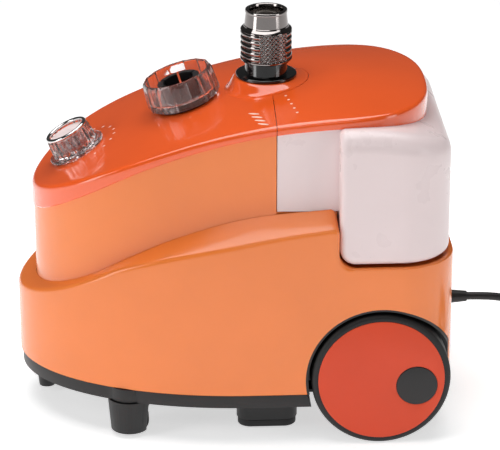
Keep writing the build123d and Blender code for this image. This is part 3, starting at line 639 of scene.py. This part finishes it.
film = finish("mark_film", shade(255, 214, 196), 0.3, spread=0.02, bump=0.02)
DASH_LEAN, SCALE_R = math.radians(-32), 0.0315
front_marks = []
for row in range(4):
    front_marks.append(mark(0.0165 + 0.0022 * row, -0.066 - 0.0072 * row, 0.0052, 0.0011, DASH_LEAN))
for step in range(9):
    angle = math.radians(-62 + 18 * step)
    x, y = DIAL_X + SCALE_R * math.cos(angle), 0.0345 * math.sin(angle)
    front_marks.append(mark(x, y, 0.0009 + 0.00008 * step, 0.0009, 0))
front_marks = joined(*front_marks)
front_marks.name = "front_marks"
smooth(front_marks, 40)
fit(front_marks, film, "dial_white", "housing")
rear_marks = [mark(0.0446 + 0.0018 * row, -0.042 - 0.0088 * row, 0.0011, 0.0011, 0) for row in range(5)]
rear_marks = joined(*rear_marks)
rear_marks.name = "rear_marks"
smooth(rear_marks, 40)
fit(rear_marks, film, "dial_white", "tank")

# Tank: blown milky polypropylene that lets light through, with its neck welded in and a screw cap below.
# It hangs under the rear half of the deck and lifts off with it.
milky = finish("milky_pp", shade(242, 224, 224), 0.28, spread=0.008, grain=40, bump=0.0,
               Subsurface_Weight=0.08, Subsurface_Scale=0.004, Subsurface_Radius=(1, 0.9, 0.88))
dress(milky, "water_tank", "tank_floor")
dress(finish("cap_pp", shade(226, 224, 220), 0.4, bump=0.08), "tank_cap", "cap_floor", "cap_cage")

# Base: a black polypropylene tray, closed from below by four screws, with its feet and wheel arches.
# Its corners are eased where the mould parts.


def softened(node, name, width, material, slot, body, degrees=35):
    """A merged copy of a plain part with its corners rounded."""
    bpy.ops.object.select_all(action="DESELECT")
    piece = bpy.data.objects.new(name, nodes[node].data.copy())
    bpy.context.collection.objects.link(piece)
    piece.select_set(True)
    bpy.context.view_layer.objects.active = piece
    bpy.ops.object.mode_set(mode="EDIT")
    bpy.ops.mesh.select_all(action="SELECT")
    bpy.ops.mesh.remove_doubles(threshold=0.000005)
    bpy.ops.mesh.dissolve_limited(angle_limit=math.radians(0.5))
    bpy.ops.object.mode_set(mode="OBJECT")
    apply_with(
        piece, "BEVEL", width=width, segments=3, limit_method="ANGLE", angle_limit=math.radians(degrees))
    smooth(piece, 40)
    return fit(piece, material, slot, body, node)


black_pp = finish("black_pp", shade(19, 18, 19), 0.42, spread=0.08, grain=1300, bump=0.12)
dress(black_pp, "left_wheel_arch", "right_wheel_arch", "pole_collet", "pole_socket")
dress(black_pp, "terminal_block", "rotary_switch")
softened("base_tray", "base_moulding", 0.0011, black_pp, "base_black", "housing")
screw_zinc = finish("screw_zinc", shade(168, 170, 172), 0.3, grain=1500, bump=0.05, Metallic=1.0)
dress(screw_zinc, "case_screws", "axle", "axle_washers", "left_caster_pin", "right_caster_pin")
dress(screw_zinc, "outlet_pipe", "dial_shaft", "valve_stem", "valve_spring")

# Running gear: orange discs with a black inlay in thin black tyres, and two hooded casters under the nose.
# The discs are painted ABS, the tyres a soft rubber pressed over them.
tyre_rubber = finish("tyre_rubber", shade(16, 16, 17), 0.55, spread=0.1, grain=900, bump=0.2)
disc_orange = finish("disc_orange_abs", shade(222, 64, 8), 0.36, spread=0.03, grain=1000, bump=0.08)
inlay_black = finish("inlay_black", shade(15, 14, 15), 0.35, grain=1500, bump=0.1)
for side in ("left", "right"):
    dress(tyre_rubber, f"{side}_tyre")
    softened(f"{side}_wheel_disc", f"{side}_disc", 0.0008, disc_orange, "wheel_orange", f"{side}_wheel")
    softened(f"{side}_wheel_inlay", f"{side}_inlay", 0.0005, inlay_black, "base_black", f"{side}_wheel")
    softened(f"{side}_caster_fork", f"{side}_caster_hood", 0.0007, black_pp, "base_black", f"{side}_caster")
    softened(f"{side}_foot_pad", f"{side}_foot", 0.0012, tyre_rubber, "seal_rubber", "housing")
    dress(tyre_rubber, f"{side}_caster_wheel")

# Steam side: a gloss black flange and neck on the cone, and the chrome nut that clamps the hose on the pipe.
# The nut is turned and plated brass, grooved at the sides and knurled in diamonds front and back.
NUT_R, NUT_BORE_R, NUT_BOTTOM, NUT_TOP, NUT_SHOULDER = 0.022, 0.014, 0.3053, 0.350, 0.3340
GRIP_LOW, GRIP_HIGH = 0.3078, 0.3326
KNURL_COLUMNS, KNURL_ROWS = 7, 12
KNURL_MIDDLE, KNURL_HALF = math.radians(-74), math.radians(34)


def ramp(level, low, high):
    """Smooth step from 0 to 1."""
    share = min(max((level - low) / (high - low), 0), 1)
    return share * share * (3 - 2 * share)


def grip_depth(angle, z):
    """How far the nut's grip is cut back from its full radius."""
    middles = (KNURL_MIDDLE, KNURL_MIDDLE + math.pi)
    off = min(abs((angle - middle + math.pi) % (2 * math.pi) - math.pi) for middle in middles)
    level = (z - GRIP_LOW) / (GRIP_HIGH - GRIP_LOW)
    if not 0 <= level <= 1:
        return 0
    groove = 0.0019 * (1 - abs(math.sin(math.pi * 5 * level)) ** 0.55)
    across = (angle - KNURL_MIDDLE) / (2 * KNURL_HALF) * KNURL_COLUMNS
    up = level * KNURL_ROWS / 2
    diamond = 0.0013 * max(abs(2 * (lean % 1) - 1) for lean in (across + up, across - up)) ** 1.6
    share = ramp(off, KNURL_HALF - math.radians(2.5), KNURL_HALF + math.radians(2.5))
    edge = min(ramp(level, 0, 0.015), ramp(1 - level, 0, 0.015))
    return edge * (groove * share + diamond * (1 - share))


def nut_profile():
    """Closed section of the nut as (radius, height), up the outside and down the bore."""
    rows = [(0.0203, NUT_BOTTOM), (0.0213, NUT_BOTTOM + 0.0003), (0.0219, NUT_BOTTOM + 0.001),
            (0.0219, NUT_BOTTOM + 0.0018), (0.0212, NUT_BOTTOM + 0.0023)]
    rows += [(NUT_R, GRIP_LOW + (GRIP_HIGH - GRIP_LOW) * step / 96) for step in range(97)]
    rows += [(0.0218, 0.3332), (0.0211, NUT_SHOULDER), (0.0197, 0.3350), (0.0192, 0.3354),
             (0.0190, 0.3362), (0.0186, 0.3366)]
    rows += [(0.0186 - 0.0012 * step / 6, 0.3366 + 0.0106 * step / 6) for step in range(1, 7)]
    rows += [(0.0179, 0.3476), (0.0180, 0.3488), (0.0177, 0.3497), (0.0171, NUT_TOP), (0.0152, NUT_TOP),
             (0.0146, 0.3496), (0.0142, 0.3486), (NUT_BORE_R, 0.347), (NUT_BORE_R, 0.330),
             (NUT_BORE_R, NUT_BOTTOM + 0.0004), (0.0203, NUT_BOTTOM)]
    return rows


def hose_nut():
    rows = nut_profile()

    def place(across, up):
        radius, z = rows[round(up * (len(rows) - 1))]
        angle = 2 * math.pi * across
        if radius == NUT_R:
            radius -= grip_depth(angle, z)
        return Vector((OUTLET.x + radius * math.cos(angle), radius * math.sin(angle), z))

    piece = shaped_grid("chrome_nut", 252, len(rows) - 1, place)
    smooth(piece, 28)
    return piece


gloss_black = finish("gloss_black", shade(10, 9, 10), 0.12, spread=0.05, bump=0.01,
                     Coat_Weight=0.6, Coat_Roughness=0.04)
softened("outlet_collar", "outlet_flange", 0.0007, gloss_black, "gloss_black", "housing")
chrome = finish("dark_chrome", shade(150, 144, 142), 0.08, spread=0.05, grain=1600, bump=0.02, Metallic=1.0)
fit(hose_nut(), chrome, "chrome", "hose_nut", "hose_nut")
dress(finish("seal_silicone", shade(190, 188, 182), 0.6, bump=0.1), "outlet_seal", "water_hose")
dress(finish("valve_rubber", shade(29, 28, 28), 0.6, bump=0.1), "valve_seal")

# Pole clamp: a clear polycarbonate cup with flat facets that turns on the black split sleeve of the pole.
# It stands square to the sloping deck, and a rib marks each edge between facets.
FACETS = 14


def turned(name, columns, section, frame_at, radius_of=lambda radius, angle, z: radius):
    """A piece wound round its own axis from a section of (radius, height), placed on the deck."""

    def place(across, up):
        radius, z = section[round(up * (len(section) - 1))]
        angle = 2 * math.pi * across
        radius = radius_of(radius, angle, z)
        return frame_at @ Vector((radius * math.cos(angle), radius * math.sin(angle), z))

    return shaped_grid(name, columns, len(section) - 1, place)


def ring_radius(radius, angle, z):
    """Flat facets with a fine rib at each edge, on the outer wall only."""
    if radius < 0.0285:
        return radius
    turn = (angle % (2 * math.pi / FACETS)) - math.pi / FACETS
    flat = math.cos(math.pi / FACETS) / math.cos(turn)
    off = abs(abs(turn) - math.pi / FACETS)
    return radius * (0.35 + 0.65 * flat) + 0.0004 * max(0, 1 - off / math.radians(1.8)) - 0.0004




def clear_plastic(name, tint, rough):
    """Clear moulding with a faint tint and a slightly uneven skin."""
    made = finish(name, tint, rough, spread=0.01, grain=350, bump=0.02, IOR=1.55)
    made.node_tree.nodes["Principled BSDF"].inputs["Transmission Weight"].default_value = 0.96
    return made


clear = clear_plastic("clear_pc", shade(255, 246, 246), 0.02)
ring_section = [(0.0194, 0.0028), (0.0306, 0.0028), (0.0315, 0.0034), (0.0318, 0.006), (0.0315, 0.012),
                (0.0311, 0.019), (0.0307, 0.0245), (0.0303, 0.0258), (0.0296, 0.0268), (0.0288, 0.027),
                (0.0281, 0.0268), (0.0276, 0.026), (0.0275, 0.018), (0.0274, 0.0092), (0.0268, 0.0078),
                (0.0255, 0.0072), (0.0194, 0.0072), (0.0194, 0.0028)]
ring = turned("clamp_cup", FACETS * 12, ring_section, over_deck(POLE_X, POLE_TILT), ring_radius)
smooth(ring, 22)
fit(ring, clear, "clear_plastic", "pole_ring", "pole_clamp_ring")

# Control dial: a clear ribbed grip over a white printed plate, held under a thin chrome ring.
# Its shaft goes through the deck to the switch.
DIAL_RIBS = 20
BEZEL_R = 0.0174


def grip_radius(radius, angle, z):
    """Rounded ribs round the grip."""
    if radius < 0.0175 or z < 0.0042:
        return radius
    fade = ramp(z, 0.0042, 0.006) * (1 - ramp(z, 0.0185, 0.0198))
    return radius + 0.0010 * abs(math.cos(DIAL_RIBS * angle / 2)) ** 3 * fade


dial_at = over_deck(DIAL_X, DIAL_TILT)
dial_section = [(0.0031, 0.0006), (0.0243, 0.0006), (0.0250, 0.0011), (0.0250, 0.0030), (0.0244, 0.0036),
                (0.0206, 0.0038), (0.0200, 0.0044), (0.0196, 0.008), (0.0191, 0.013), (0.0187, 0.0176),
                (0.0184, 0.0192), (0.0180, 0.0199), (0.0169, 0.0199), (0.0166, 0.0195), (0.0166, 0.008),
                (0.0160, 0.0062), (0.0070, 0.0060), (0.0070, 0.0135), (0.0066, 0.0140), (0.0031, 0.0140),
                (0.0031, 0.0006)]
dial = turned("dial_grip", DIAL_RIBS * 10, dial_section, dial_at, grip_radius)
smooth(dial, 30)
fit(dial, clear, "clear_plastic", "dial", "control_dial")
bezel_section = []
for degrees in range(-90, 271, 24):
    around = math.radians(degrees)
    bezel_section.append((BEZEL_R + 0.0019 * math.cos(around), 0.0208 + 0.0016 * math.sin(around)))
bezel = turned("dial_ring", 120, bezel_section, dial_at)
smooth(bezel, 60)
bright_chrome = finish("bright_chrome", shade(222, 220, 220), 0.07, grain=1600, bump=0.01, Metallic=1.0)
fit(bezel, bright_chrome, "chrome", "dial", "dial_bezel")
dress(finish("plate_white", shade(246, 226, 224), 0.35, bump=0.03), "dial_face")

# Inside: a cast aluminium boiler with its element, thermostat and fuse over a tin shield.
# They only show when the part is taken apart.
cast = finish("cast_aluminium", shade(170, 172, 174), 0.45, spread=0.08, grain=800, bump=0.25, Metallic=1.0)
dress(cast, "boiler_pan", "boiler_lid")
element_steel = finish("element_steel", shade(120, 116, 112), 0.35, Metallic=1.0, bump=0.1)
dress(element_steel, "heating_element", "heat_shield")
thermostat_tin = finish("thermostat_tin", shade(196, 196, 190), 0.3, Metallic=1.0, bump=0.05)
dress(thermostat_tin, "thermostat", "thermal_fuse")
